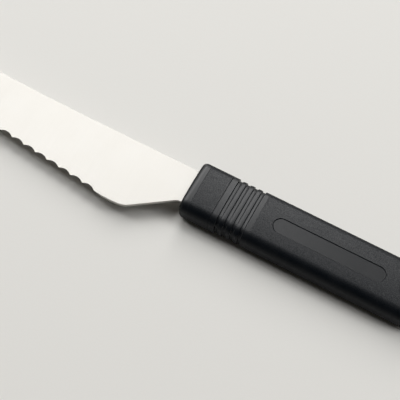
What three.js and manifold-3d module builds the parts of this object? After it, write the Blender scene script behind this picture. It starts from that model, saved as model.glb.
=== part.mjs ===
// A hard cheese knife: a scalloped steel blade whose tang is moulded into a black plastic handle.
// Millimetres. The knife lies flat: X runs from the blade's point to the handle's butt,
// Y from the cutting edge to the spine, Z up. The origin is under the middle of the handle.

import * as THREE from 'three';
import { mergeVertices } from 'three/addons/utils/BufferGeometryUtils.js';
import Module from 'manifold-3d';

const wasm = await Module();
wasm.setup();

// Handle
const handleLength = 119;
const handleWidth = 26;
const handleThickness = 14.5;
const handleEdgeRadius = 4.5;

// Front end of the handle: a smooth collar with a rounded nose
const collarLength = 4.15;
const noseRounding = 2.3;

// Grip rings behind the collar: grooves with sloping walls, and slightly sunk rings between them
const frontGripLength = 11;
const ringLandLength = 2.6;
const ringSink = 0.2;
const grooveCount = 4;
const groovePitch = 3.78;
const grooveWidth = 1.95;
const grooveFloorWidth = 1.3;
const grooveDepth = 0.9;

// Fine line all round the handle wherever its finish changes
const finishLineWidth = 0.5;
const finishLineDepth = 0.3;

// Bare panel sunk into the upper face, between the rings and the hanging eye
const panelFromRings = 6.75;
const panelToEye = 12.4;
const panelWidth = 7.6;
const panelDepth = 0.4;

// Hanging eye in the round butt
const eyeFromButt = 12.5;
const eyeDiameter = 9;
const eyeRimRadius = 1.5;

// Blade plate, measured from the front of the handle to the point before it is rounded
const bladeThickness = 1.8;
const bladeLength = 166;
const spineHeight = 8.7;
const upsweepFromHandle = 61;
const upsweepRadius = 1200;
const bellyRadius = 80;
const pointRounding = 2.5;

// Neck, choil and heel of the blade
const neckDepth = 8.05;
const neckLength = 2.5;
const neckRounding = 1.7;
const heelFromHandle = 24.8;
const heelDepth = 23.6;
const heelRoundingOnEdge = 16.4;
const heelRoundingOnChoil = 4.4;
const edgeAngle = THREE.MathUtils.degToRad(6.3);

// Scallops, ground from the underside so that the upper face stays flat
const scallopPitch = 6.65;
const scallopDepth = 1.23;
const scallopCrestRelief = 0.1;
const scallopFromHeel = 16.4;
const scallopFromPoint = 8;
const scallopBevel = THREE.MathUtils.degToRad(22);
const wheelOvershoot = 4;

// Tang inside the handle
const shoulderDepth = 8;
const tangToEye = 29;
const tangWidth = 12;
const lockHoleCount = 2;
const lockHoleDiameter = 6;
const lockHoleFromShoulder = 16;
const lockHoleFromTangEnd = 20;

// Play that is left all round the tang
const tangClearance = 0.3;

// Smoothness of round shapes
const cornerSteps = 5;
const noseSteps = 5;
const outlineSteps = 16;
const turnSteps = 48;
const scallopTurnSteps = 160;
const rimSteps = 5;

// How far a cutting shape runs past the face that it opens
const cutOvershoot = 1;

const halfWidth = handleWidth / 2;
const halfThickness = handleThickness / 2;
const halfPlate = bladeThickness / 2;
const buttX = handleLength - halfWidth;
const eyeX = handleLength - eyeFromButt;
const tangEnd = eyeX - tangToEye;
const quarterTurn = Math.PI / 2;

const ringStart = collarLength + frontGripLength;
const firstGroove = ringStart + ringLandLength;
const lastGrooveEnd = firstGroove + (grooveCount - 1) * groovePitch + grooveWidth;
const ringEnd = lastGrooveEnd + ringLandLength;

// Solids and meshes

function toSolid(geometry) {
  geometry.deleteAttribute('normal');
  geometry.deleteAttribute('uv');
  const merged = mergeVertices(geometry);
  const vertProperties = new Float32Array(merged.attributes.position.array);
  const corners = merged.index.array;
  const kept = [];
  for (let start = 0; start < corners.length; start += 3) {
    const triangle = corners.slice(start, start + 3);
    // A triangle that has shrunk to a line on a turning axis is left out.
    if (new Set(triangle).size === 3) {
      kept.push(...triangle);
    }
  }
  const triVerts = new Uint32Array(kept);
  return new wasm.Manifold(new wasm.Mesh({ numProp: 3, vertProperties, triVerts }));
}

function toMesh(solid, name, material) {
  const { vertProperties, triVerts } = solid.getMesh();
  const geometry = new THREE.BufferGeometry();
  geometry.setAttribute('position', new THREE.BufferAttribute(vertProperties, 3));
  geometry.setIndex(new THREE.BufferAttribute(triVerts, 1));
  geometry.computeVertexNormals();
  const mesh = new THREE.Mesh(geometry, material);
  mesh.name = name;
  return mesh;
}

// A flat outline extruded upwards from a given height.
function plate(shape, bottom, height) {
  const geometry = new THREE.ExtrudeGeometry(shape, {
    depth: height,
    bevelEnabled: false,
    curveSegments: outlineSteps,
  });
  geometry.translate(0, 0, bottom);
  return toSolid(geometry);
}

// A profile of radius and height turned about an upright axis.
function turned(profile, x) {
  const geometry = new THREE.LatheGeometry(profile, turnSteps);
  geometry.rotateX(quarterTurn);
  geometry.translate(x, 0, 0);
  return toSolid(geometry);
}

// A skin over equal rings of points, closed by a fan at each end.
function loft(rings) {
  const count = rings[0].length;
  const points = rings.flat();
  const triangles = [];
  for (let ring = 0; ring < rings.length - 1; ring += 1) {
    for (let side = 0; side < count; side += 1) {
      const here = ring * count + side;
      const beside = ring * count + (side + 1) % count;
      triangles.push(here, beside, here + count);
      triangles.push(beside, beside + count, here + count);
    }
  }
  const lastRing = points.length - count;
  for (let side = 1; side < count - 1; side += 1) {
    triangles.push(0, side + 1, side);
    triangles.push(lastRing, lastRing + side, lastRing + side + 1);
  }
  const geometry = new THREE.BufferGeometry().setFromPoints(points);
  geometry.setIndex(triangles);
  return toSolid(geometry);
}

// Handle

// The handle's rounded section, drawn in by an inset, as a ring of points at one place along X.
function handleRing(x, inset) {
  const wide = halfWidth - inset;
  const high = halfThickness - inset;
  const radius = handleEdgeRadius * Math.min(wide / halfWidth, high / halfThickness);
  const section = new THREE.Shape();
  section.absarc(wide - radius, radius - high, radius, -quarterTurn, 0);
  section.absarc(wide - radius, high - radius, radius, 0, quarterTurn);
  section.absarc(radius - wide, high - radius, radius, quarterTurn, 2 * quarterTurn);
  section.absarc(radius - wide, radius - high, radius, 2 * quarterTurn, 3 * quarterTurn);
  return section.getPoints(cornerSteps).map((point) => new THREE.Vector3(x, point.x, point.y));
}

// Each station is a place along X and the section's inset there.
function noseStations() {
  const rounding = new THREE.Path();
  rounding.absarc(noseRounding, noseRounding, noseRounding, 2 * quarterTurn, 3 * quarterTurn);
  return rounding.getPoints(noseSteps);
}

function finishLineStations(x) {
  return [
    new THREE.Vector2(x - finishLineWidth / 2, 0),
    new THREE.Vector2(x, finishLineDepth),
    new THREE.Vector2(x + finishLineWidth / 2, 0),
  ];
}

function grooveStations() {
  const stations = [];
  for (let groove = 0; groove < grooveCount; groove += 1) {
    const middle = firstGroove + groove * groovePitch + grooveWidth / 2;
    const sinkBefore = groove === 0 ? 0 : ringSink;
    const sinkAfter = groove === grooveCount - 1 ? 0 : ringSink;
    stations.push(
      new THREE.Vector2(middle - grooveWidth / 2, sinkBefore),
      new THREE.Vector2(middle - grooveFloorWidth / 2, grooveDepth),
      new THREE.Vector2(middle + grooveFloorWidth / 2, grooveDepth),
      new THREE.Vector2(middle + grooveWidth / 2, sinkAfter),
    );
  }
  return stations;
}

function handleShaft() {
  const stations = [
    ...noseStations(),
    ...finishLineStations(collarLength),
    ...finishLineStations(ringStart),
    ...grooveStations(),
    ...finishLineStations(ringEnd),
    new THREE.Vector2(buttX, 0),
  ];
  return loft(stations.map((station) => handleRing(station.x, station.y)));
}

// The round butt: half of the handle's section turned about an upright axis.
function handleButt() {
  const profile = new THREE.Path();
  const flat = halfWidth - handleEdgeRadius;
  const upright = halfThickness - handleEdgeRadius;
  profile.moveTo(0, -halfThickness);
  profile.lineTo(flat, -halfThickness);
  profile.absarc(flat, -upright, handleEdgeRadius, -quarterTurn, 0);
  profile.absarc(flat, upright, handleEdgeRadius, 0, quarterTurn);
  profile.lineTo(0, halfThickness);
  return turned(profile.getPoints(cornerSteps), buttX);
}

// The eye's bore, opening out over rounded rims.
function eyeCutter() {
  const radius = eyeDiameter / 2;
  const mouth = radius + eyeRimRadius;
  const shoulder = halfThickness - eyeRimRadius;
  const profile = new THREE.Path();
  profile.moveTo(0, -halfThickness - cutOvershoot);
  profile.lineTo(mouth, -halfThickness - cutOvershoot);
  profile.absarc(mouth, -shoulder, eyeRimRadius, -quarterTurn, -2 * quarterTurn, true);
  profile.absarc(mouth, shoulder, eyeRimRadius, 2 * quarterTurn, quarterTurn, true);
  profile.lineTo(mouth, halfThickness + cutOvershoot);
  profile.lineTo(0, halfThickness + cutOvershoot);
  return turned(profile.getPoints(rimSteps), eyeX);
}

function panelCutter() {
  const radius = panelWidth / 2;
  const start = ringEnd + panelFromRings;
  const end = eyeX - panelToEye;
  const outline = new THREE.Shape();
  outline.absarc(end - radius, 0, radius, -quarterTurn, quarterTurn);
  outline.absarc(start + radius, 0, radius, quarterTurn, 3 * quarterTurn);
  return plate(outline, halfThickness - panelDepth, panelDepth + cutOvershoot);
}

// The slot that the plastic leaves round the tang, with the pegs that lock through its holes.
function tangSlot() {
  const outline = new THREE.Shape();
  outline.moveTo(-cutOvershoot, spineHeight + tangClearance);
  outline.lineTo(-cutOvershoot, -neckDepth - tangClearance);
  traceTang(outline, tangClearance);
  for (const x of lockHoles()) {
    const peg = new THREE.Path();
    peg.absarc(x, 0, lockHoleDiameter / 2 - tangClearance, 0, 4 * quarterTurn);
    outline.holes.push(peg);
  }
  return plate(outline, -halfPlate - tangClearance, bladeThickness + 2 * tangClearance);
}

function handleMaterial() {
  return new THREE.MeshStandardMaterial({ color: 0x2b2b2c, roughness: 0.55, metalness: 0 });
}

function makeHandle() {
  const body = handleShaft().add(handleButt());
  const solid = body.subtract(eyeCutter()).subtract(panelCutter()).subtract(tangSlot());
  return toMesh(solid, 'handle', handleMaterial());
}

// Blade

function lockHoles() {
  const first = shoulderDepth + lockHoleFromShoulder;
  const last = tangEnd - lockHoleFromTangEnd;
  const places = [];
  for (let hole = 0; hole < lockHoleCount; hole += 1) {
    places.push(THREE.MathUtils.lerp(first, last, hole / Math.max(1, lockHoleCount - 1)));
  }
  return places;
}

// Draws the shoulders and the tang, from the neck's lower side round to its upper side.
function traceTang(outline, gap) {
  const half = tangWidth / 2 + gap;
  outline.lineTo(shoulderDepth + gap, -neckDepth - gap);
  outline.lineTo(shoulderDepth + gap, -half);
  outline.absarc(tangEnd - tangWidth / 2, 0, half, -quarterTurn, quarterTurn);
  outline.lineTo(shoulderDepth + gap, half);
  outline.lineTo(shoulderDepth + gap, spineHeight + gap);
}

// The cutting edge: straight from the heel, then a belly that curves up to the point.
const heel = new THREE.Vector2(-heelFromHandle, -heelDepth);
const neck = new THREE.Vector2(-neckLength, -neckDepth);
const alongEdge = new THREE.Vector2(-Math.cos(edgeAngle), Math.sin(edgeAngle));
const intoBlade = new THREE.Vector2(Math.sin(edgeAngle), Math.cos(edgeAngle));
const upsweepCentre = new THREE.Vector2(-upsweepFromHandle, spineHeight + upsweepRadius);
const upsweepTurn = Math.asin((bladeLength - upsweepFromHandle) / upsweepRadius);
const point = new THREE.Vector2(-bladeLength, upsweepCentre.y - upsweepRadius * Math.cos(upsweepTurn));
const pointAlong = point.clone().sub(heel).dot(alongEdge);
const pointAcross = point.clone().sub(heel).dot(intoBlade);
const bellyRun = Math.sqrt(2 * bellyRadius * pointAcross - pointAcross ** 2);
const bellyStart = pointAlong - bellyRun;
const bellyTurn = Math.atan2(bellyRun, bellyRadius - pointAcross);
const bellyCentre = onLine(heel, alongEdge, bellyStart).addScaledVector(intoBlade, bellyRadius);
const bellyFoot = Math.atan2(-intoBlade.y, -intoBlade.x);
const edgeLength = bellyStart + bellyRadius * bellyTurn;

function onLine(from, direction, distance) {
  return from.clone().addScaledVector(direction, distance);
}

// Place on the edge and direction into the blade, at a distance from the heel's corner.
function edgeAt(distance) {
  if (distance <= bellyStart) {
    return { place: onLine(heel, alongEdge, distance), inward: intoBlade };
  }
  const turn = (distance - bellyStart) / bellyRadius;
  const inward = intoBlade.clone().rotateAround(new THREE.Vector2(), -turn);
  return { place: onLine(bellyCentre, inward, -bellyRadius), inward };
}

function bladeOutline() {
  const choil = heel.clone().sub(neck).normalize();
  const outline = new THREE.Shape();
  outline.moveTo(-upsweepFromHandle, spineHeight);
  outline.absarc(
    upsweepCentre.x,
    upsweepCentre.y,
    upsweepRadius,
    -quarterTurn,
    -quarterTurn - upsweepTurn + pointRounding / upsweepRadius,
    true,
  );
  const belowPoint = edgeAt(edgeLength - pointRounding).place;
  outline.quadraticCurveTo(point.x, point.y, belowPoint.x, belowPoint.y);
  outline.absarc(
    bellyCentre.x,
    bellyCentre.y,
    bellyRadius,
    bellyFoot - bellyTurn + pointRounding / bellyRadius,
    bellyFoot,
  );
  const heelStart = onLine(heel, alongEdge, heelRoundingOnEdge);
  const heelEnd = onLine(heel, choil, -heelRoundingOnChoil);
  outline.lineTo(heelStart.x, heelStart.y);
  outline.quadraticCurveTo(heel.x, heel.y, heelEnd.x, heelEnd.y);
  const neckStart = onLine(neck, choil, neckRounding);
  outline.lineTo(neckStart.x, neckStart.y);
  outline.quadraticCurveTo(neck.x, neck.y, neck.x + neckRounding, neck.y);
  traceTang(outline, 0);
  for (const x of lockHoles()) {
    const hole = new THREE.Path();
    hole.absarc(x, 0, lockHoleDiameter / 2, 0, 4 * quarterTurn);
    outline.holes.push(hole);
  }
  return outline;
}

// A round grinding wheel, tilted to the bevel, that leaves one scallop in the edge.
function scallopCutter(distance) {
  const { place, inward } = edgeAt(distance);
  const halfChord = scallopPitch / 2;
  const sagitta = scallopDepth * Math.sin(scallopBevel);
  const radius = (halfChord ** 2 + sagitta ** 2) / (2 * sagitta);
  const slope = bladeThickness / Math.sin(scallopBevel);
  const wheelLength = slope + 2 * wheelOvershoot;
  const geometry = new THREE.CylinderGeometry(radius, radius, wheelLength, scallopTurnSteps);
  const across = new THREE.Vector3(inward.x, inward.y, 0);
  const up = new THREE.Vector3(0, 0, 1);
  const axis = across.clone().multiplyScalar(Math.cos(scallopBevel));
  axis.addScaledVector(up, -Math.sin(scallopBevel));
  const away = across.clone().multiplyScalar(-Math.sin(scallopBevel));
  away.addScaledVector(up, -Math.cos(scallopBevel));
  const side = new THREE.Vector3().crossVectors(axis, away);
  const centre = new THREE.Vector3(place.x, place.y, halfPlate);
  centre.addScaledVector(across, scallopDepth + scallopCrestRelief);
  centre.addScaledVector(away, radius);
  centre.addScaledVector(axis, slope / 2);
  const placement = new THREE.Matrix4().makeBasis(away, axis, side.negate());
  placement.setPosition(centre);
  geometry.applyMatrix4(placement);
  return toSolid(geometry);
}

function bladeMaterial() {
  return new THREE.MeshStandardMaterial({ color: 0xd9d8d4, roughness: 0.32, metalness: 1 });
}

function makeBlade() {
  let solid = plate(bladeOutline(), -halfPlate, bladeThickness);
  const lastScallop = edgeLength - scallopFromPoint;
  for (let distance = scallopFromHeel; distance <= lastScallop; distance += scallopPitch) {
    solid = solid.subtract(scallopCutter(distance));
  }
  return toMesh(solid, 'blade', bladeMaterial());
}

const knife = new THREE.Group();
knife.add(makeBlade(), makeHandle());
knife.position.set(-handleLength / 2, 0, halfThickness);

export default knife;
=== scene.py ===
import math
import bmesh
import bpy
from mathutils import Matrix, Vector


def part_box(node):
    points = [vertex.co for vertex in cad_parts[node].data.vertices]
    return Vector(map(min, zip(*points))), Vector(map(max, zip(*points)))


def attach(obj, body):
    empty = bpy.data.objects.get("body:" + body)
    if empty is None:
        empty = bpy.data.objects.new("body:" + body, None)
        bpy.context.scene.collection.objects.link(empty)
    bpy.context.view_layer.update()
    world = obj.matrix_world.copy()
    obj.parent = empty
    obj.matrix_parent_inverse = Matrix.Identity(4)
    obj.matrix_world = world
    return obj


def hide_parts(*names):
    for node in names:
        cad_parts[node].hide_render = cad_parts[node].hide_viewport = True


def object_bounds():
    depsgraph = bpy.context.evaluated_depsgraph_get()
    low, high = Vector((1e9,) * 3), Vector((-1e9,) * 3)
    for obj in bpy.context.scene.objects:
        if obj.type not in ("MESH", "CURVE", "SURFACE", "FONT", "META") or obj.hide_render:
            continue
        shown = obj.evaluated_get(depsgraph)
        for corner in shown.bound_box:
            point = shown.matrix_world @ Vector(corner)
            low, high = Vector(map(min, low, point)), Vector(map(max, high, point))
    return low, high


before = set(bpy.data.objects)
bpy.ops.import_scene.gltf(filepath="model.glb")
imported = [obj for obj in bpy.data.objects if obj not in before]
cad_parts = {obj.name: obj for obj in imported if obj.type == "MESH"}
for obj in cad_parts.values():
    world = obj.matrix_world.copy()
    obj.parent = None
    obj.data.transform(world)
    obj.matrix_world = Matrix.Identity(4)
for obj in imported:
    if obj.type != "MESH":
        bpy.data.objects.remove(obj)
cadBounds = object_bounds()
mm = 0.001
mergeReach = 0.0005 * mm  # vertices nearer than this are one
handleLow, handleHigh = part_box("handle")
bladeLow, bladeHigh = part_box("blade")
frontX = handleLow.x  # where the handle starts; the blade runs the other way from here
middleZ = (handleLow.z + handleHigh.z) / 2
print("frame loaded")


# helpers for node trees

def feed(tree, socket, value):
    if isinstance(value, bpy.types.NodeSocket):
        tree.links.new(value, socket)
    else:
        socket.default_value = value


def addNode(tree, kind, inputs=None, **settings):
    node = tree.nodes.new(kind)
    for name, value in settings.items():
        setattr(node, name, value)
    for name, value in (inputs or {}).items():
        feed(tree, node.inputs[name], value)
    return node


def maths(tree, operation, *values):
    node = addNode(tree, "ShaderNodeMath", operation=operation)
    for socket, value in zip(node.inputs, values):
        feed(tree, socket, value)
    return node.outputs[0]


def vectorMaths(tree, operation, *values):
    node = addNode(tree, "ShaderNodeVectorMath", operation=operation)
    for socket, value in zip(node.inputs, values):
        feed(tree, socket, value)
    return node.outputs[0]


def scaleVector(tree, vector, factor):
    inputs = {"Vector": vector, "Scale": factor}
    return addNode(tree, "ShaderNodeVectorMath", inputs, operation="SCALE").outputs[0]


def ramp(tree, value, start, end, low=0.0, high=1.0, kind="SMOOTHSTEP"):
    ends = {"Value": value, "From Min": start, "From Max": end, "To Min": low, "To Max": high}
    return addNode(tree, "ShaderNodeMapRange", ends, interpolation_type=kind).outputs[0]


def band(tree, value, start, end, soft):
    rise = ramp(tree, value, start - soft, start + soft)
    fall = ramp(tree, value, end - soft, end + soft, 1.0, 0.0)
    return maths(tree, "MULTIPLY", rise, fall)


def blendColour(tree, amount, first, second):
    node = addNode(tree, "ShaderNodeMix", data_type="RGBA")
    # the colour sockets of a node that also has number and vector ones
    for index, value in ((0, amount), (6, first), (7, second)):
        feed(tree, node.inputs[index], value)
    return node.outputs[2]


def newGroup(name, kind, inputs, outputs):
    tree = bpy.data.node_groups.new(name, kind)
    for label, socketKind in inputs.items():
        tree.interface.new_socket(label, in_out="INPUT", socket_type=socketKind)
    for label, socketKind in outputs.items():
        tree.interface.new_socket(label, in_out="OUTPUT", socket_type=socketKind)
    return tree, addNode(tree, "NodeGroupInput").outputs, addNode(tree, "NodeGroupOutput").inputs


def finishTree(tree, geometry, given, result):
    whole = addNode(tree, "GeometryNodeRealizeInstances", {"Geometry": geometry}).outputs[0]
    dressed = {"Geometry": whole, "Material": given["Material"]}
    feed(tree, result["Geometry"], addNode(tree, "GeometryNodeSetMaterial", dressed).outputs[0])


def newMaterial(name):
    material = bpy.data.materials.new(name)
    material.use_nodes = True
    shader = material.node_tree.nodes["Principled BSDF"]
    return material, material.node_tree, shader


# helpers for shapes; lengths in mm from the handle's front, turned to metres at the vertices

def spread(start, end, step):
    count = max(1, round((end - start) / step))
    return [start + (end - start) * i / count for i in range(count + 1)]


def arc(centre, radius, start, end, steps):
    angles = [start + (end - start) * i / steps for i in range(steps + 1)]
    return [(centre[0] + radius * math.cos(a), centre[1] + radius * math.sin(a)) for a in angles]


def softCorner(start, corner, end, steps):
    curve = []
    for i in range(steps + 1):
        t = i / steps
        weights = ((1 - t) ** 2, 2 * t * (1 - t), t ** 2)
        curve.append(tuple(sum(w * p[k] for w, p in zip(weights, (start, corner, end))) for k in (0, 1)))
    return curve


def place(x, y, z):
    return Vector((frontX + x * mm, y * mm, middleZ + z * mm))


def bridge(shape, near, far):
    for i in range(len(near)):
        shape.faces.new((near[i - 1], near[i], far[i], far[i - 1]))


def stackedSolid(rings):
    shape = bmesh.new()
    loops = [[shape.verts.new(place(*point)) for point in ring] for ring in rings]
    for near, far in zip(loops, loops[1:]):
        bridge(shape, near, far)
    shape.faces.new(loops[0])
    shape.faces.new(loops[-1])
    return shape


def makePiece(name, shape):
    bmesh.ops.remove_doubles(shape, verts=shape.verts, dist=mergeReach)
    bmesh.ops.recalc_face_normals(shape, faces=shape.faces)
    mesh = bpy.data.meshes.new(name)
    shape.to_mesh(mesh)
    shape.free()
    piece = bpy.data.objects.new(name, mesh)
    bpy.context.scene.collection.objects.link(piece)
    return piece


def growNodes(piece, tree, values):
    grown = piece.modifiers.new(tree.name, "NODES")
    grown.node_group = tree
    for item in tree.interface.items_tree:
        if item.item_type == "SOCKET" and item.in_out == "INPUT" and item.name in values:
            grown[item.identifier] = values[item.name]


def cutAway(piece, cutter):
    cut = piece.modifiers.new(cutter.name, "BOOLEAN")
    cut.operation = "DIFFERENCE"
    cut.solver = "MANIFOLD"
    cut.object = cutter
    cutter.hide_render = True


def settle(piece, *helpers):
    bpy.context.view_layer.update()
    evaluated = piece.evaluated_get(bpy.context.evaluated_depsgraph_get())
    shaped = bpy.data.meshes.new_from_object(evaluated)
    piece.modifiers.clear()
    piece.data = shaped
    for helper in helpers:
        bpy.data.objects.remove(helper)


def smoothFaces(piece, sharpFrom):
    shape = bmesh.new()
    shape.from_mesh(piece.data)
    bmesh.ops.remove_doubles(shape, verts=shape.verts, dist=mergeReach)
    for face in shape.faces:
        face.smooth = True
    for edge in shape.edges:
        edge.smooth = edge.calc_face_angle(0.0) < math.radians(sharpFrom)
    shape.to_mesh(piece.data)
    shape.free()
    weighted = piece.modifiers.new("weightedNormals", "WEIGHTED_NORMAL")
    weighted.keep_sharp = True
    settle(piece)


def givePiece(piece, node):
    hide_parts(node)
    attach(piece, "root")
    print(piece.name, "has", sum(len(face.vertices) - 2 for face in piece.data.polygons), "triangles")


# shared effects

grainPattern = {"detail": 3.0, "harshness": 0.6, "speckStart": 0.62, "speckFull": 0.76}
marksPattern = {"detail": 4.0, "harshness": 0.55, "start": 0.3, "full": 0.7}


def patternNoise(tree, vector, size, pattern):
    scale = maths(tree, "DIVIDE", 1.0, size)
    inputs = {"Vector": vector, "Scale": scale}
    inputs.update({"Detail": pattern["detail"], "Roughness": pattern["harshness"]})
    return addNode(tree, "ShaderNodeTexNoise", inputs).outputs[0]


def makeFineGrain():
    inputs = {"Vector": "NodeSocketVector", "Grain Size": "NodeSocketFloat"}
    outputs = {"Height": "NodeSocketFloat", "Speck": "NodeSocketFloat"}
    tree, given, result = newGroup("fineGrain", "ShaderNodeTree", inputs, outputs)
    height = patternNoise(tree, given["Vector"], given["Grain Size"], grainPattern)
    feed(tree, result["Height"], height)
    feed(tree, result["Speck"], ramp(tree, height, grainPattern["speckStart"], grainPattern["speckFull"]))
    return tree


def makeHandlingMarks():
    inputs = {"Vector": "NodeSocketVector", "Patch Size": "NodeSocketFloat"}
    tree, given, result = newGroup("handlingMarks", "ShaderNodeTree", inputs, {"Amount": "NodeSocketFloat"})
    patches = patternNoise(tree, given["Vector"], given["Patch Size"], marksPattern)
    feed(tree, result["Amount"], ramp(tree, patches, marksPattern["start"], marksPattern["full"]))
    return tree


def useGroup(tree, group, inputs):
    return addNode(tree, "ShaderNodeGroup", inputs, node_tree=group).outputs


fineGrain = makeFineGrain()
handlingMarks = makeHandlingMarks()
print("shared effects ready")

# handle: one moulding with a round nose, a smooth collar, grip rings, a sunk panel and an eye

handleShape = {
    "edgeRadius": 4.5,  # of the lower edges
    "upperFarRadius": 4.3,
    "upperNearRadius": 5.3,
    "noseLength": 2.15,
    "noseDepth": 1.55,
    "collarLength": 4.15,
    "frontGripLength": 10.9,
    "frontLandLength": 2.8,
    "rearLandLength": 2.3,
    "grooveCount": 4,
    "groovePitch": 3.78,
    "grooveWidth": 1.88,
    "grooveFrontWall": 0.3,
    "grooveBackWall": 0.5,
    "grooveDepth": 0.8,
    "grooveFlatness": 0.4,
    "grooveFloorRise": 0.12,
    "ringSink": 0.2,
    "ringDome": 0.07,
    "ringLean": 0.25,
    "crownRadius": 78.0,
    "crownFade": 2.0,
    "lineWidth": 0.4,
    "lineDepths": (0.08, 0.16, 0.05),
    "panelFromRings": 7.05,
    "panelToEye": 12.4,
    "panelWidth": 7.6,
    "panelDepth": 0.38,
    "panelCove": 0.5,
    "eyeFromButt": 12.5,
    "eyeDiameter": 9.0,
    "eyeRimRadius": 1.5,
    "slotPlay": 0.06,
    "sharpFrom": 40,  # degrees between faces
}
handleSteps = {
    "edge": 12,
    "crown": 6,
    "nose": 12,
    "butt": 72,
    "panelEnd": 24,
    "panelCove": 6,
    "eye": 96,
    "eyeRim": 12,
    "afterNose": 0.3,  # these five are lengths in mm
    "besideLine": 0.3,
    "acrossLine": 0.05,
    "besideGrooves": 0.1,
    "acrossGrooves": 0.075,
}
handleFinish = {
    "black": (0.0013, 0.003, 0.0053, 1),
    "dusty": (0.0103, 0.0116, 0.0138, 1),
    "speckDust": 0.6,
    "markDust": 0.3,
    "smoothRoughness": 0.42,
    "texturedRoughness": 0.46,
    "wearRoughness": 0.05,
    "dullGloss": 0.095,
    "sheen": (0.95, 0.97, 1.0, 1),
    "skinIor": 1.6,
    "skinRoughness": 0.44,
    "smoothSkin": 0.74,
    "texturedSkin": 0.462,
    "noseShine": 1.33,
    "nosePolish": (0.35, 1.45, 2.2, 2.9),  # mm from the front: dull to here, polished from, to, plain from
    "frontSkin": 0.2,
    "flankStart": 0.3,
    "flankFull": 0.85,
    "textureFade": 0.08,
    "smoothRelief": 0.1,
    "grainSize": 0.4,
    "grainDepth": 0.06,
    "grainContrast": 3.9,
    "patchSize": 9.0,
}
panelFinish = {
    "roughness": 0.34,
    "gloss": 0.375,
    "texture": 0.25,
    "unevenness": 0.08,
    "wear": 0.3,
}
cutOvershoot = 1.0  # cutters stand out this far
halfWidth = (handleHigh.y - handleLow.y) / 2 / mm
halfThick = (handleHigh.z - handleLow.z) / 2 / mm
buttX = (handleHigh.x - handleLow.x) / mm - halfWidth
eyeX = buttX + halfWidth - handleShape["eyeFromButt"]
collarEnd = handleShape["collarLength"]
ringStart = collarEnd + handleShape["frontGripLength"]
firstGroove = ringStart + handleShape["frontLandLength"]
grooveRun = (handleShape["grooveCount"] - 1) * handleShape["groovePitch"] + handleShape["grooveWidth"]
ringEnd = firstGroove + grooveRun + handleShape["rearLandLength"]
finishLines = (collarEnd, ringStart, ringEnd)
panelRadius = handleShape["panelWidth"] / 2
panelStart = ringEnd + handleShape["panelFromRings"] + panelRadius
panelEnd = eyeX - handleShape["panelToEye"] - panelRadius


def handleSection(inset):
    # the upper face is slightly crowned, and runs into the edge roundings without a crease
    crown = handleShape["crownRadius"]
    crownZ = halfThick - crown
    quarter = math.pi / 2
    halves = []
    for upper in (handleShape["upperFarRadius"], handleShape["upperNearRadius"]):
        reach = halfWidth - upper
        tilt = math.asin(reach / (crown - upper))
        cornerZ = crownZ + (crown - upper) * math.cos(tilt)
        half = arc((reach, cornerZ), upper - inset, 0, quarter - tilt, handleSteps["edge"])
        half += arc((0, crownZ), crown - inset, quarter - tilt, quarter, handleSteps["crown"])[1:]
        halves.append(half)
    section = halves[0] + [(-y, z) for y, z in reversed(halves[1][:-1])]
    lower = handleShape["edgeRadius"]
    reach = halfWidth - lower
    for side, start in ((-reach, 2 * quarter), (reach, 3 * quarter)):
        section += arc((side, lower - halfThick), lower - inset, start, start + quarter, handleSteps["edge"])
    return section


def handleStations():
    # sections round the nose are inset; past it they lie close only where lines and grooves are pressed in
    reach = handleShape["noseLength"]
    depth = handleShape["noseDepth"]
    turns = [math.pi / 2 * i / handleSteps["nose"] for i in range(handleSteps["nose"] + 1)]
    stations = [(reach - reach * math.cos(turn), depth - depth * math.sin(turn)) for turn in turns]
    places = [reach + handleSteps["afterNose"], buttX]
    margin = handleSteps["besideLine"]
    for line in finishLines:
        places += spread(line - margin, line + margin, handleSteps["acrossLine"])
    margin = handleSteps["besideGrooves"]
    places += spread(firstGroove - margin, firstGroove + grooveRun + margin, handleSteps["acrossGrooves"])
    return stations + [(x, 0.0) for x in sorted(set(places))]


def makeHandleBlank():
    shape = bmesh.new()
    rings = []
    for x, inset in handleStations():
        rings.append([shape.verts.new(place(x, y, z)) for y, z in handleSection(inset)])
    for near, far in zip(rings, rings[1:]):
        bridge(shape, near, far)
    shape.faces.new(rings[0])
    # the butt is half a turn of the section's side, from the near edge round to the far one
    sides = []
    for way in (-1, 1):
        # without the vertex on the middle line
        side = [Vector((way * y, z)) for y, z in handleSection(0.0) if way * y > 1e-6]
        sides.append(sorted(side, key=lambda p: math.atan2(p.y, p.x)))
    ribs = []
    for i in range(handleSteps["butt"] + 1):
        turn = math.pi * (i / handleSteps["butt"] - 0.5)
        share = (1 + math.sin(turn)) / 2
        profile = [near.lerp(far, share) for near, far in zip(*sides)]
        rib = [place(buttX + p.x * math.cos(turn), p.x * math.sin(turn), p.y) for p in profile]
        ribs.append([shape.verts.new(spot) for spot in rib])
    top = shape.verts.new(place(buttX, 0, halfThick))
    for near, far in zip(ribs, ribs[1:]):
        for i in range(len(near) - 1):
            shape.faces.new((near[i], near[i + 1], far[i + 1], far[i]))
        shape.faces.new((near[-1], top, far[-1]))
    shape.faces.new([rib[0] for rib in ribs])
    return makePiece("handleMoulding", shape)


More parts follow.
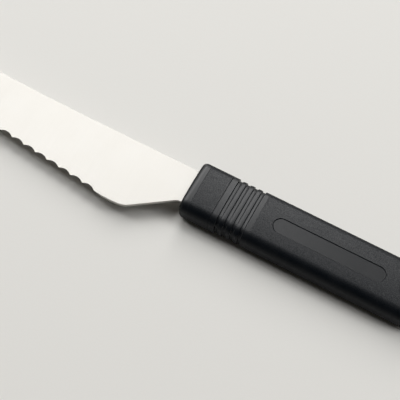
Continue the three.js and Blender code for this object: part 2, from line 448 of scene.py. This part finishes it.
def makeRingGrooves():
    sizes = ["Front", "Middle", "First Groove", "Pitch", "Width", "Front Wall", "Back Wall", "Depth"]
    sizes += ["Ring Sink", "Ring Dome", "Ring Lean", "Crown Radius", "Crown Half", "Crown Fade"]
    sizes += ["Flatness", "Floor Rise", "Line Width"]
    sizes += [f"Line {i + 1}{end}" for i in range(len(finishLines)) for end in ("", " Depth")]
    inputs = {"Geometry": "NodeSocketGeometry", "Count": "NodeSocketInt", "Material": "NodeSocketMaterial"}
    inputs.update({name: "NodeSocketFloat" for name in sizes})
    outputs = {"Geometry": "NodeSocketGeometry"}
    tree, given, result = newGroup("ringGrooves", "GeometryNodeTree", inputs, outputs)
    position = addNode(tree, "GeometryNodeInputPosition").outputs[0]
    split = addNode(tree, "ShaderNodeSeparateXYZ", {"Vector": position}).outputs
    along = maths(tree, "SUBTRACT", split["X"], given["Front"])
    run = maths(tree, "SUBTRACT", along, given["First Groove"])
    lastIndex = maths(tree, "SUBTRACT", given["Count"], 1.0)
    index = maths(tree, "FLOOR", maths(tree, "DIVIDE", run, given["Pitch"]))
    index = maths(tree, "MAXIMUM", maths(tree, "MINIMUM", index, lastIndex), 0.0)
    step = maths(tree, "SUBTRACT", run, maths(tree, "MULTIPLY", index, given["Pitch"]))
    floorEnd = maths(tree, "SUBTRACT", given["Width"], given["Back Wall"])
    groove = maths(tree, "MULTIPLY", ramp(tree, step, 0.0, given["Front Wall"]),
                   ramp(tree, step, floorEnd, given["Width"], 1.0, 0.0))
    # the rings between the first and the last groove stand a little lower, and are domed
    halfGroove = maths(tree, "DIVIDE", given["Width"], 2.0)
    lastMiddle = maths(tree, "ADD", maths(tree, "MULTIPLY", lastIndex, given["Pitch"]), halfGroove)
    between = maths(tree, "GREATER_THAN", run, halfGroove)
    between = maths(tree, "MULTIPLY", between, maths(tree, "LESS_THAN", run, lastMiddle))
    ringMiddle = maths(tree, "DIVIDE", maths(tree, "ADD", given["Width"], given["Pitch"]), 2.0)
    halfRing = maths(tree, "DIVIDE", maths(tree, "SUBTRACT", given["Pitch"], given["Width"]), 2.0)
    fromMiddle = maths(tree, "DIVIDE", maths(tree, "SUBTRACT", step, ringMiddle), halfRing)
    fromTop = maths(tree, "SUBTRACT", fromMiddle, given["Ring Lean"])
    domeLimit = 2.0  # reached only inside the grooves
    dome = maths(tree, "MINIMUM", maths(tree, "MULTIPLY", fromTop, fromTop), domeLimit)
    sink = maths(tree, "ADD", given["Ring Sink"], maths(tree, "MULTIPLY", dome, given["Ring Dome"]))
    sink = maths(tree, "MULTIPLY", between, sink)
    # the grooves' floors are flatter than the crowned face
    sideways = maths(tree, "ABSOLUTE", split["Y"])
    flatPart = maths(tree, "MINIMUM", sideways, given["Crown Half"])
    drop = maths(tree, "DIVIDE", maths(tree, "MULTIPLY", flatPart, flatPart), given["Crown Radius"])
    fadeEnd = maths(tree, "ADD", given["Crown Half"], given["Crown Fade"])
    drop = maths(tree, "MULTIPLY", drop, ramp(tree, sideways, given["Crown Half"], fadeEnd, 0.5, 0.0))
    drop = maths(tree, "MULTIPLY", drop, given["Flatness"])
    drop = maths(tree, "MULTIPLY", drop, maths(tree, "GREATER_THAN", split["Z"], given["Middle"]))
    reach = maths(tree, "SUBTRACT", maths(tree, "SUBTRACT", given["Depth"], drop), sink)
    # the floor rises in a hollow towards the back wall
    crossing = ramp(tree, step, given["Front Wall"], floorEnd, kind="LINEAR")
    rise = maths(tree, "MULTIPLY", maths(tree, "MULTIPLY", crossing, crossing), given["Floor Rise"])
    reach = maths(tree, "SUBTRACT", reach, rise)
    inset = maths(tree, "ADD", sink, maths(tree, "MULTIPLY", reach, groove))
    halfLine = maths(tree, "DIVIDE", given["Line Width"], 2.0)
    for i in range(len(finishLines)):
        away = maths(tree, "ABSOLUTE", maths(tree, "SUBTRACT", along, given[f"Line {i + 1}"]))
        line = ramp(tree, away, 0.0, halfLine, 1.0, 0.0)
        inset = maths(tree, "ADD", inset, maths(tree, "MULTIPLY", line, given[f"Line {i + 1} Depth"]))
    normal = addNode(tree, "GeometryNodeInputNormal").outputs["Normal"]
    inward = maths(tree, "MULTIPLY", inset, -1.0)
    pressed = {"Geometry": given["Geometry"], "Offset": scaleVector(tree, normal, inward)}
    finishTree(tree, addNode(tree, "GeometryNodeSetPosition", pressed).outputs[0], given, result)
    return tree


def makePanelCutter():
    rings = []
    depth = handleShape["panelDepth"]
    cove = handleShape["panelCove"]
    # the cutter's wall goes on past the face as steeply as the cove ends
    lip = 0.1
    levels = [(lip, lip * depth * math.pi / 2 / cove)]
    for i in range(handleSteps["panelCove"] + 1):
        share = i / handleSteps["panelCove"]
        levels.append((-cove * share, -depth * math.sin(math.pi / 2 * share)))
    for outset, height in levels:
        radius = panelRadius + outset
        outline = arc((panelEnd, 0), radius, -math.pi / 2, math.pi / 2, handleSteps["panelEnd"])
        outline += arc((panelStart, 0), radius, math.pi / 2, math.pi * 1.5, handleSteps["panelEnd"])
        rings.append([(x, y, halfThick + height) for x, y in outline])
    return makePiece("panelCutter", stackedSolid(rings))


def makeEyeCutter():
    radius = handleShape["eyeDiameter"] / 2
    rim = handleShape["eyeRimRadius"]
    mouth = radius + rim
    lower = arc((mouth, rim - halfThick), rim, -math.pi / 2, -math.pi, handleSteps["eyeRim"])
    upper = arc((mouth, halfThick - rim), rim, math.pi, math.pi / 2, handleSteps["eyeRim"])
    profile = [(mouth, -halfThick - cutOvershoot), *lower, *upper, (mouth, halfThick + cutOvershoot)]
    rings = []
    for reach, height in profile:
        circle = arc((eyeX, 0), reach, 0, math.tau, handleSteps["eye"])[:-1]
        rings.append([(x, y, height) for x, y in circle])
    return makePiece("eyeCutter", stackedSolid(rings))


def mouldPlastic(tree, shader, texture):
    # dust in the grain, marks of the hand, and the relief of the mould
    coords = addNode(tree, "ShaderNodeTexCoord").outputs["Object"]
    grain = useGroup(tree, fineGrain, {"Vector": coords, "Grain Size": handleFinish["grainSize"] * mm})
    marks = useGroup(tree, handlingMarks, {"Vector": coords, "Patch Size": handleFinish["patchSize"] * mm})
    specks = maths(tree, "MULTIPLY", grain["Speck"], texture)
    specks = maths(tree, "MULTIPLY", specks, handleFinish["speckDust"])
    dust = maths(tree, "ADD", specks, maths(tree, "MULTIPLY", marks["Amount"], handleFinish["markDust"]))
    colour = blendColour(tree, dust, handleFinish["black"], handleFinish["dusty"])
    feed(tree, shader.inputs["Base Color"], colour)
    pressed = ramp(tree, texture, 0.0, 1.0, handleFinish["smoothRelief"], 1.0, "LINEAR")
    relief = maths(tree, "MULTIPLY", grain["Height"], pressed)
    bump = {"Height": relief, "Strength": 1.0, "Distance": handleFinish["grainDepth"] * mm}
    feed(tree, shader.inputs["Normal"], addNode(tree, "ShaderNodeBump", bump).outputs[0])
    uneven = maths(tree, "SUBTRACT", grain["Height"], 0.5)
    worn = maths(tree, "SUBTRACT", marks["Amount"], 0.5)
    return uneven, maths(tree, "MULTIPLY", worn, handleFinish["wearRoughness"])


def makeHandlePlastic():
    material, tree, shader = newMaterial("handlePlastic")
    coords = addNode(tree, "ShaderNodeTexCoord").outputs["Object"]
    split = addNode(tree, "ShaderNodeSeparateXYZ", {"Vector": coords}).outputs
    along = maths(tree, "SUBTRACT", split["X"], frontX)
    soft = handleFinish["textureFade"] * mm
    front = band(tree, along, collarEnd * mm, ringStart * mm, soft)
    rear = ramp(tree, along, ringEnd * mm - soft, ringEnd * mm + soft)
    texture = maths(tree, "ADD", front, rear)
    uneven, worn = mouldPlastic(tree, shader, texture)
    rough = ramp(tree, texture, 0.0, 1.0, handleFinish["smoothRoughness"],
                 handleFinish["texturedRoughness"], "LINEAR")
    feed(tree, shader.inputs["Roughness"], maths(tree, "ADD", rough, worn))
    # the mould's glossy skin: thin on the grips, polished round the nose, gone from the flanks and the front
    skin = ramp(tree, texture, 0.0, 1.0, handleFinish["smoothSkin"], handleFinish["texturedSkin"], "LINEAR")
    normal = addNode(tree, "ShaderNodeNewGeometry").outputs["Normal"]
    sideways = addNode(tree, "ShaderNodeSeparateXYZ", {"Vector": normal}).outputs["Y"]
    sideways = maths(tree, "ABSOLUTE", sideways)
    upward = ramp(tree, sideways, handleFinish["flankStart"], handleFinish["flankFull"], 1.0, 0.0)
    dullEnd, polishStart, polishEnd, plainStart = (spot * mm for spot in handleFinish["nosePolish"])
    polish = ramp(tree, along, polishEnd, plainStart, handleFinish["noseShine"], 1.0)
    fromFront = ramp(tree, along, dullEnd, polishStart, handleFinish["frontSkin"])
    for share in (upward, polish, fromFront):
        skin = maths(tree, "MULTIPLY", skin, share)
    patchy = maths(tree, "MULTIPLY", maths(tree, "MULTIPLY", uneven, texture), handleFinish["grainContrast"])
    feed(tree, shader.inputs["Coat Weight"], maths(tree, "MULTIPLY", skin, maths(tree, "ADD", patchy, 1.0)))
    shader.inputs["Specular IOR Level"].default_value = handleFinish["dullGloss"]
    shader.inputs["Specular Tint"].default_value = handleFinish["sheen"]
    shader.inputs["Coat Roughness"].default_value = handleFinish["skinRoughness"]
    shader.inputs["Coat IOR"].default_value = handleFinish["skinIor"]
    return material


def makePanelPlastic():
    material, tree, shader = newMaterial("panelPlastic")
    uneven, worn = mouldPlastic(tree, shader, panelFinish["texture"])
    rough = maths(tree, "MULTIPLY", uneven, panelFinish["unevenness"])
    rough = maths(tree, "ADD", rough, panelFinish["roughness"])
    worn = maths(tree, "MULTIPLY", worn, panelFinish["wear"])
    feed(tree, shader.inputs["Roughness"], maths(tree, "ADD", rough, worn))
    shader.inputs["Specular IOR Level"].default_value = panelFinish["gloss"]
    return material


def dressPanel(piece, material):
    # the faces of the sunk panel: inside its outline, and a little below the crowned face
    piece.data.materials.append(material)
    crown = handleShape["crownRadius"]
    leastDepth = 0.01  # the crown's facets lie nearer than this to the true curve
    for face in piece.data.polygons:
        x = (face.center.x - frontX) / mm
        y = face.center.y / mm
        crownedTop = halfThick - crown + math.sqrt(crown ** 2 - y ** 2)
        depth = crownedTop - (face.center.z - middleZ) / mm
        beyond = max(panelStart - x, x - panelEnd, 0.0)
        if math.hypot(beyond, y) < panelRadius and leastDepth < depth < 2 * handleShape["panelDepth"]:
            face.material_index = len(piece.data.materials) - 1


# blade: a flat plate with a tang, ground with scallops from the underside

bladeShape = {
    "length": 166.0,
    "spineHeight": 8.7,
    "upsweepFromHandle": 61.0,
    "upsweepRadius": 1200.0,
    "bellyRadius": 80.0,
    "pointRounding": 2.5,
    "neckDepth": 8.05,
    "neckLength": 2.5,
    "neckRounding": 1.7,
    "heelFromHandle": 24.8,
    "heelDepth": 23.6,
    "heelRoundingOnEdge": 16.4,
    "heelRoundingOnChoil": 4.4,
    "edgeAngle": 6.3,
    "rimRounding": 0.12,
    "scallopPitch": 6.65,
    "scallopDepth": 1.23,
    "crestRelief": 0.1,
    "scallopFromHeel": 16.4,
    "scallopFromPoint": 8.0,
    "scallopBevel": 22.0,
    "wheelOvershoot": 4.0,
    "shoulderDepth": 8.0,
    "tangEnd": 77.5,
    "tangWidth": 12.0,
    "lockHoleDiameter": 6.0,
    "lockHoles": (24.0, 57.5),
    "sharpFrom": 25,  # degrees between faces
}
bladeSteps = {
    "spine": 0.004,  # radians
    "edge": 0.5,  # mm
    "point": 16,
    "heel": 16,
    "neck": 12,
    "tangEnd": 24,
    "lockHole": 48,
    "rim": 2,
    "scallop": 12,  # knots of the path
    "wheel": 288,
}
bladeFinish = {
    "steel": (0.537, 0.528, 0.505, 1),
    "worn": (0.523, 0.512, 0.485, 1),
    "ground": (0.548, 0.537, 0.517, 1),
    "roughness": 0.54,
    "groundRoughness": 0.36,
    "brushWidth": 0.35,
    "brushLength": 30.0,
    "brushDepth": 0.004,
    "brushStrength": 0.5,
    "brushDetail": 4.0,
    "brushHarshness": 0.65,
    "brushRoughness": 0.08,
    "patchSize": 14.0,
    "grainSize": 1.2,
    "grainWear": 0.2,
    "grindLineHeight": 5.6,
    "grindLineFade": 0.5,
    "grindLineLighterTone": 0.25,
    "groundFacing": (-0.975, -0.5),  # how far a ground face's normal points down
    "groundFade": 0.01,
}
plateHalf = (bladeHigh.z - bladeLow.z) / 2 / mm
edgeTurn = math.radians(bladeShape["edgeAngle"])
alongEdge = Vector((-math.cos(edgeTurn), math.sin(edgeTurn)))
intoBlade = Vector((math.sin(edgeTurn), math.cos(edgeTurn)))
heel = Vector((-bladeShape["heelFromHandle"], -bladeShape["heelDepth"]))
neck = Vector((-bladeShape["neckLength"], -bladeShape["neckDepth"]))
# the spine is straight, then sweeps up to the point on a large circle
upsweepStart = bladeShape["upsweepFromHandle"]
upsweepRadius = bladeShape["upsweepRadius"]
upsweepCentre = Vector((-upsweepStart, bladeShape["spineHeight"] + upsweepRadius))
upsweepTurn = math.asin((bladeShape["length"] - upsweepStart) / upsweepRadius)
point = Vector((-bladeShape["length"], upsweepCentre.y - upsweepRadius * math.cos(upsweepTurn)))
# the edge is straight from the heel, then a belly that meets the spine at the point
bellyRadius = bladeShape["bellyRadius"]
pointAlong = (point - heel).dot(alongEdge)
pointAcross = (point - heel).dot(intoBlade)
bellyRun = math.sqrt(2 * bellyRadius * pointAcross - pointAcross ** 2)
bellyStart = pointAlong - bellyRun
bellyTurn = math.atan2(bellyRun, bellyRadius - pointAcross)
bellyCentre = heel + alongEdge * bellyStart + intoBlade * bellyRadius
edgeLength = bellyStart + bellyRadius * bellyTurn


def edgeAt(distance):
    if distance <= bellyStart:
        return heel + alongEdge * distance
    turn = (distance - bellyStart) / bellyRadius
    inward = Vector((intoBlade.x * math.cos(turn) + intoBlade.y * math.sin(turn),
                     intoBlade.y * math.cos(turn) - intoBlade.x * math.sin(turn)))
    return bellyCentre - inward * bellyRadius


def tangOutline(play):
    # the part inside the handle, from the edge side round to the spine side
    depth = bladeShape["shoulderDepth"] + play
    halfTang = bladeShape["tangWidth"] / 2 + play
    endCentre = (bladeShape["tangEnd"] - bladeShape["tangWidth"] / 2, 0)
    roundEnd = arc(endCentre, halfTang, -math.pi / 2, math.pi / 2, bladeSteps["tangEnd"])
    return [(depth, -bladeShape["neckDepth"] - play), (depth, -halfTang), *roundEnd, (depth, halfTang),
            (depth, bladeShape["spineHeight"] + play)]


def bladeOutline():
    rounding = bladeShape["pointRounding"]
    turns = spread(0.0, upsweepTurn - rounding / upsweepRadius, bladeSteps["spine"])
    spine = [upsweepCentre + upsweepRadius * Vector((-math.sin(turn), -math.cos(turn))) for turn in turns]
    distances = spread(bladeShape["heelRoundingOnEdge"], edgeLength - rounding, bladeSteps["edge"])
    edge = [edgeAt(distance) for distance in reversed(distances)]
    pointCurve = softCorner(spine[-1], point, edge[0], bladeSteps["point"])
    choil = (neck - heel).normalized()
    choilStart = heel + choil * bladeShape["heelRoundingOnChoil"]
    heelCurve = softCorner(edge[-1], heel, choilStart, bladeSteps["heel"])
    neckRound = bladeShape["neckRounding"]
    neckCurve = softCorner(neck - choil * neckRound, neck, neck + Vector((neckRound, 0)), bladeSteps["neck"])
    outline = [tuple(spot) for spot in spine] + pointCurve[1:-1]
    outline += [tuple(spot) for spot in edge] + heelCurve[1:] + neckCurve
    return outline + tangOutline(0.0)


def flatSolid(outline, holes, half):
    # each level is two faces that meet along the tang's middle line, through the holes
    shape = bmesh.new()
    tip = outline.index(max(outline))
    corner = tip - bladeSteps["tangEnd"] // 2 - 1
    middle = bladeSteps["lockHole"] // 2
    levels = []
    for z in (-half, half):
        rim = [shape.verts.new(place(x, y, z)) for x, y in outline]
        circles = [[shape.verts.new(place(x, y, z)) for x, y in hole] for hole in holes]
        edgeSide = rim[corner:tip + 1]
        spineSide = rim[tip:] + rim[:corner + 1]
        for circle in reversed(circles):
            edgeSide += circle[:1] + circle[:middle - 1:-1]
        for circle in circles:
            spineSide += circle[middle::-1]
        shape.faces.new(edgeSide)
        shape.faces.new(spineSide)
        levels.append([rim] + circles)
    for lower, upper in zip(*levels):
        bridge(shape, lower, upper)
    bmesh.ops.recalc_face_normals(shape, faces=shape.faces)
    return shape


def lockCircles(radius):
    return [arc((x, 0), radius, 0, math.tau, bladeSteps["lockHole"])[:-1] for x in bladeShape["lockHoles"]]


def makeBladePlate():
    shape = flatSolid(bladeOutline(), lockCircles(bladeShape["lockHoleDiameter"] / 2), plateHalf)
    flatAngle = 0.001
    rimAngle = 1.0
    level = 0.01 * mm
    bmesh.ops.dissolve_limit(shape, angle_limit=flatAngle, verts=shape.verts, edges=shape.edges)
    # rims are the sharp edges that lie level
    rims = [edge for edge in shape.edges if edge.calc_face_angle(0.0) > rimAngle
            and abs(edge.verts[0].co.z - edge.verts[1].co.z) < level]
    bmesh.ops.bevel(shape, geom=rims, offset=bladeShape["rimRounding"] * mm, segments=bladeSteps["rim"],
                    profile=0.5, affect="EDGES", clamp_overlap=True)
    return makePiece("bladePlate", shape)


def makeEdgePath(distances):
    curve = bpy.data.curves.new("edgePath", "CURVE")
    curve.dimensions = "3D"
    spline = curve.splines.new("POLY")
    spline.points.add(len(distances) - 1)
    for knot, distance in zip(spline.points, distances):
        knot.co = (*place(*edgeAt(distance), plateHalf), 1.0)
    path = bpy.data.objects.new("edgePath", curve)
    bpy.context.scene.collection.objects.link(path)
    return path


def makeGrindScallops():
    inputs = {"Geometry": "NodeSocketGeometry", "Edge Path": "NodeSocketObject", "Count": "NodeSocketInt"}
    inputs.update({name: "NodeSocketFloat" for name in ("Radius", "Length", "Bevel", "Reach", "Drop")})
    inputs["Material"] = "NodeSocketMaterial"
    outputs = {"Geometry": "NodeSocketGeometry"}
    tree, given, result = newGroup("grindScallops", "GeometryNodeTree", inputs, outputs)
    path = addNode(tree, "GeometryNodeObjectInfo", {"Object": given["Edge Path"]}).outputs["Geometry"]
    spaced = addNode(tree, "GeometryNodeCurveToPoints", {"Curve": path, "Count": given["Count"]}).outputs
    up = (0.0, 0.0, 1.0)
    across = vectorMaths(tree, "CROSS_PRODUCT", spaced["Tangent"], up)
    across = vectorMaths(tree, "NORMALIZE", across)
    # each wheel leans by the bevel, with its rim in the plate
    leaning = scaleVector(tree, across, maths(tree, "COSINE", given["Bevel"]))
    fall = addNode(tree, "ShaderNodeCombineXYZ", {"Z": maths(tree, "SINE", given["Bevel"])}).outputs[0]
    axis = vectorMaths(tree, "SUBTRACT", leaning, fall)
    turned = addNode(tree, "FunctionNodeAlignRotationToVector", {"Vector": axis}, axis="Z").outputs[0]
    inward = scaleVector(tree, across, given["Reach"])
    drop = addNode(tree, "ShaderNodeCombineXYZ", {"Z": given["Drop"]}).outputs[0]
    offset = vectorMaths(tree, "SUBTRACT", inward, drop)
    placed = {"Geometry": spaced["Points"], "Offset": offset}
    centres = addNode(tree, "GeometryNodeSetPosition", placed).outputs[0]
    rim = {"Vertices": bladeSteps["wheel"], "Radius": given["Radius"], "Depth": given["Length"]}
    wheel = addNode(tree, "GeometryNodeMeshCylinder", rim).outputs["Mesh"]
    wheels = {"Points": centres, "Instance": wheel, "Rotation": turned}
    wheels = addNode(tree, "GeometryNodeInstanceOnPoints", wheels).outputs[0]
    cut = addNode(tree, "GeometryNodeMeshBoolean", operation="DIFFERENCE", solver="EXACT")
    feed(tree, cut.inputs["Mesh 1"], given["Geometry"])
    feed(tree, cut.inputs["Mesh 2"], wheels)
    finishTree(tree, cut.outputs[0], given, result)
    return tree


def makeBladeSteel():
    material, tree, shader = newMaterial("bladeSteel")
    coords = addNode(tree, "ShaderNodeTexCoord").outputs["Object"]
    split = addNode(tree, "ShaderNodeSeparateXYZ", {"Vector": coords}).outputs
    # fine lines run across the blade
    fine = 1 / (bladeFinish["brushWidth"] * mm)
    long = 1 / (bladeFinish["brushLength"] * mm)
    stretched = addNode(tree, "ShaderNodeMapping", {"Vector": coords, "Scale": (fine, long, long)}).outputs[0]
    brushed = {"Vector": stretched, "Scale": 1.0}
    brushed.update({"Detail": bladeFinish["brushDetail"], "Roughness": bladeFinish["brushHarshness"]})
    lines = addNode(tree, "ShaderNodeTexNoise", brushed).outputs[0]
    marks = useGroup(tree, handlingMarks, {"Vector": coords, "Patch Size": bladeFinish["patchSize"] * mm})
    grain = useGroup(tree, fineGrain, {"Vector": coords, "Grain Size": bladeFinish["grainSize"] * mm})
    # the steel's colour is a little lighter along a faint line level with the edge, where the grinding began
    start = place(*heel, 0.0)
    riseX = maths(tree, "MULTIPLY", maths(tree, "SUBTRACT", split["X"], start.x), intoBlade.x)
    riseY = maths(tree, "MULTIPLY", maths(tree, "SUBTRACT", split["Y"], start.y), intoBlade.y)
    rise = maths(tree, "ADD", riseX, riseY)
    fromLine = maths(tree, "ABSOLUTE", maths(tree, "SUBTRACT", rise, bladeFinish["grindLineHeight"] * mm))
    grindLine = ramp(tree, fromLine, 0.0, bladeFinish["grindLineFade"] * mm, 1.0, 0.0)
    normal = addNode(tree, "ShaderNodeNewGeometry").outputs["Normal"]
    facing = addNode(tree, "ShaderNodeSeparateXYZ", {"Vector": normal}).outputs["Z"]
    ground = band(tree, facing, *bladeFinish["groundFacing"], bladeFinish["groundFade"])
    wear = maths(tree, "MULTIPLY", maths(tree, "ADD", lines, marks["Amount"]), 0.5)
    speckled = maths(tree, "SUBTRACT", grain["Height"], 0.5)
    wear = maths(tree, "ADD", wear, maths(tree, "MULTIPLY", speckled, bladeFinish["grainWear"]))
    # less wear along that line, so the steel's colour there is lighter
    wear = maths(tree, "SUBTRACT", wear, maths(tree, "MULTIPLY", grindLine, bladeFinish["grindLineLighterTone"]))
    colour = blendColour(tree, wear, bladeFinish["steel"], bladeFinish["worn"])
    feed(tree, shader.inputs["Base Color"], blendColour(tree, ground, colour, bladeFinish["ground"]))
    rough = ramp(tree, ground, 0.0, 1.0, bladeFinish["roughness"], bladeFinish["groundRoughness"], "LINEAR")
    uneven = maths(tree, "MULTIPLY", maths(tree, "SUBTRACT", lines, 0.5), bladeFinish["brushRoughness"])
    feed(tree, shader.inputs["Roughness"], maths(tree, "ADD", rough, uneven))
    bump = {"Height": lines, "Strength": bladeFinish["brushStrength"]}
    bump["Distance"] = bladeFinish["brushDepth"] * mm
    feed(tree, shader.inputs["Normal"], addNode(tree, "ShaderNodeBump", bump).outputs[0])
    shader.inputs["Metallic"].default_value = 1.0
    return material


# build the handle

handlePlastic = makeHandlePlastic()
handle = makeHandleBlank()
grooveLengths = {
    "Pitch": "groovePitch", "Width": "grooveWidth", "Front Wall": "grooveFrontWall",
    "Back Wall": "grooveBackWall", "Depth": "grooveDepth", "Floor Rise": "grooveFloorRise",
    "Ring Sink": "ringSink", "Ring Dome": "ringDome", "Crown Radius": "crownRadius",
    "Crown Fade": "crownFade", "Line Width": "lineWidth",
}
handleSizes = {name: handleShape[key] * mm for name, key in grooveLengths.items()}
handleSizes.update({
    "Front": frontX, "Middle": middleZ, "First Groove": firstGroove * mm,
    "Crown Half": (halfWidth - handleShape["upperNearRadius"]) * mm,
    "Flatness": handleShape["grooveFlatness"], "Ring Lean": handleShape["ringLean"],
    "Count": handleShape["grooveCount"], "Material": handlePlastic,
})
for number, (line, depth) in enumerate(zip(finishLines, handleShape["lineDepths"]), 1):
    handleSizes[f"Line {number}"] = line * mm
    handleSizes[f"Line {number} Depth"] = depth * mm
growNodes(handle, makeRingGrooves(), handleSizes)
# the slot for the tang leaves a peg of plastic in each lock hole
play = handleShape["slotPlay"]
slotMouth = [(-cutOvershoot, bladeShape["spineHeight"] + play),
             (-cutOvershoot, -bladeShape["neckDepth"] - play)]
pegs = lockCircles(bladeShape["lockHoleDiameter"] / 2 - play)
slotShape = flatSolid(slotMouth + tangOutline(play), pegs, plateHalf + play)
cutters = [makePanelCutter(), makeEyeCutter(), makePiece("slotCutter", slotShape)]
for cutter in cutters:
    cutAway(handle, cutter)
settle(handle, *cutters)
smoothFaces(handle, handleShape["sharpFrom"])
dressPanel(handle, makePanelPlastic())
givePiece(handle, "handle")

# build the blade

bladeSteel = makeBladeSteel()
blade = makeBladePlate()
# a wheel whose rim, tilted by the bevel, cuts the scallop's depth and pitch
bevel = math.radians(bladeShape["scallopBevel"])
sagitta = bladeShape["scallopDepth"] * math.sin(bevel)
wheelRadius = ((bladeShape["scallopPitch"] / 2) ** 2 + sagitta ** 2) / (2 * sagitta)
slope = 2 * plateHalf / math.sin(bevel)
scallopRun = edgeLength - bladeShape["scallopFromPoint"] - bladeShape["scallopFromHeel"]
scallopCount = math.floor(scallopRun / bladeShape["scallopPitch"]) + 1
lastScallop = bladeShape["scallopFromHeel"] + (scallopCount - 1) * bladeShape["scallopPitch"]
knotGap = bladeShape["scallopPitch"] / bladeSteps["scallop"]
edgePath = makeEdgePath(spread(bladeShape["scallopFromHeel"], lastScallop, knotGap))
reachIn = bladeShape["scallopDepth"] + bladeShape["crestRelief"]
growNodes(blade, makeGrindScallops(), {
    "Edge Path": edgePath, "Count": scallopCount, "Bevel": bevel, "Material": bladeSteel,
    "Radius": wheelRadius * mm, "Length": (slope + 2 * bladeShape["wheelOvershoot"]) * mm,
    "Reach": (reachIn - wheelRadius * math.sin(bevel) + slope / 2 * math.cos(bevel)) * mm,
    "Drop": (wheelRadius * math.cos(bevel) + slope / 2 * math.sin(bevel)) * mm,
})
settle(blade, edgePath)
smoothFaces(blade, bladeShape["sharpFrom"])
givePiece(blade, "blade")

# a plain table, soft light from above and behind, and the camera

studio = {
    "tableColour": (0.792, 0.785, 0.755, 1),
    "tableShade": 0.97,
    "tableGrain": 0.9,
    "tableRoughness": 0.9,
    "tableGloss": 0.1,
    "tableReach": 3.0,
    "tableGap": 0.02,  # mm below the knife
    "backLamp": {"size": (0.99, 3.62), "place": (-0.67, 2.42, 1.8), "brightness": 5.06},
    "leftLamp": {"size": (3.76, 0.595), "place": (-2.44, 0.225, 1.8), "brightness": 5.06},
    "rightLamp": {"size": (3.87, 0.72), "place": (2.385, 0.7, 1.8), "brightness": 4.28},
    "backGlow": 0.42,
    "frontGlow": 0.05,
    "rightGlow": 0.2,
    "glowFromFront": (-0.1, 0.6),  # directions where the glow starts and ends to change
    "glowToRight": (-0.2, 0.4),
    "glowColour": (1.0, 0.93, 0.85, 1),
}
cameraView = {
    "azimuth": 28.65,
    "elevation": 65.51,
    "distance": 0.53047,
    "target": Vector((-0.05395, -0.00264, 0.006)),
    "lens": 107.14,
    "nearest": 0.01,
}


def makeTable():
    material, tree, shader = newMaterial("paleTable")
    coords = addNode(tree, "ShaderNodeTexCoord").outputs["Object"]
    grain = useGroup(tree, fineGrain, {"Vector": coords, "Grain Size": studio["tableGrain"] * mm})
    shade = tuple(value * studio["tableShade"] for value in studio["tableColour"][:3]) + (1,)
    feed(tree, shader.inputs["Base Color"], blendColour(tree, grain["Height"], studio["tableColour"], shade))
    shader.inputs["Roughness"].default_value = studio["tableRoughness"]
    shader.inputs["Specular IOR Level"].default_value = studio["tableGloss"]
    shape = bmesh.new()
    bmesh.ops.create_grid(shape, x_segments=1, y_segments=1, size=studio["tableReach"])
    table = makePiece("tableTop", shape)
    table.location.z = cadBounds[0][2] - studio["tableGap"] * mm
    table.data.materials.append(material)


def makeLight():
    for name in ("backLamp", "leftLamp", "rightLamp"):
        lamp = bpy.data.lights.new(name, "AREA")
        lamp.shape = "RECTANGLE"
        lamp.size, lamp.size_y = studio[name]["size"]
        lamp.energy = studio[name]["brightness"] * lamp.size * lamp.size_y * math.pi
        pane = bpy.data.objects.new(name, lamp)
        pane.location = studio[name]["place"]
        bpy.context.scene.collection.objects.link(pane)
    world = bpy.data.worlds.new("studioGlow")
    world.use_nodes = True
    tree = world.node_tree
    direction = addNode(tree, "ShaderNodeTexCoord").outputs["Generated"]
    split = addNode(tree, "ShaderNodeSeparateXYZ", {"Vector": direction}).outputs
    background = tree.nodes["Background"].inputs
    background["Color"].default_value = studio["glowColour"]
    glow = ramp(tree, split["Y"], *studio["glowFromFront"], studio["frontGlow"], studio["backGlow"])
    share = ramp(tree, split["X"], *studio["glowToRight"], 1.0, studio["rightGlow"])
    feed(tree, background["Strength"], maths(tree, "MULTIPLY", glow, share))
    bpy.context.scene.world = world


def makeCamera():
    turn = math.radians(cameraView["azimuth"])
    lift = math.radians(cameraView["elevation"])
    backwards = Vector((math.sin(turn) * math.cos(lift), -math.cos(turn) * math.cos(lift), math.sin(lift)))
    camera = bpy.data.objects.new("camera", bpy.data.cameras.new("camera"))
    camera.data.lens = cameraView["lens"]
    camera.data.clip_start = cameraView["nearest"]
    camera.location = cameraView["target"] + backwards * cameraView["distance"]
    camera.rotation_euler = (-backwards).to_track_quat("-Z", "Y").to_euler()
    bpy.context.scene.collection.objects.link(camera)
    bpy.context.scene.camera = camera


makeTable()
makeLight()
makeCamera()
bpy.context.scene.view_settings.view_transform = "Standard"
print("studio ready")
